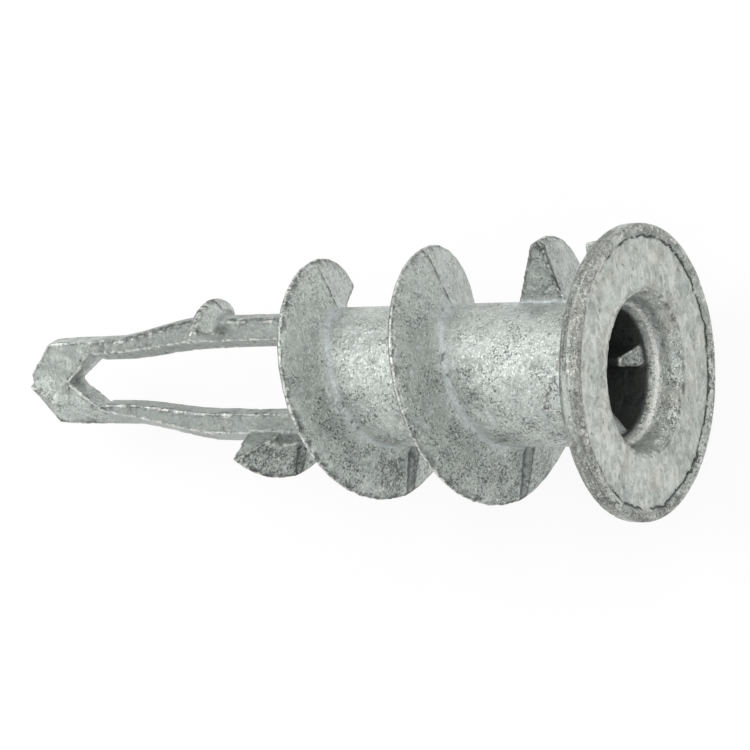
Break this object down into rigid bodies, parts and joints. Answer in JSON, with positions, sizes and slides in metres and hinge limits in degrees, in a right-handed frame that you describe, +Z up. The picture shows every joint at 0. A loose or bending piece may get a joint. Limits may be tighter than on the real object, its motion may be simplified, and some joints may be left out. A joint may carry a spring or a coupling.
{
  "type": "plasterboard anchor",
  "caption": "Self-drilling metal anchor for plasterboard, with a socketed flange, a coarse flight on a round barrel and a slotted drill tip.",
  "frame": {"origin": "on the floor under the middle of the anchor as it lies on the rim of its head and on its flight", "axes": "+X along the floor towards the head, +Y across the anchor, +Z up; the anchor's own axis rises towards the head by the resting slope"},
  "size_m": [0.0382, 0.0142, 0.0142],
  "materials": {
    "zinc": "satin zinc die casting, lightly mottled"
  },
  "bodies": {
    "root": {"anchor": "zinc"}
  },
  "joints": []
}
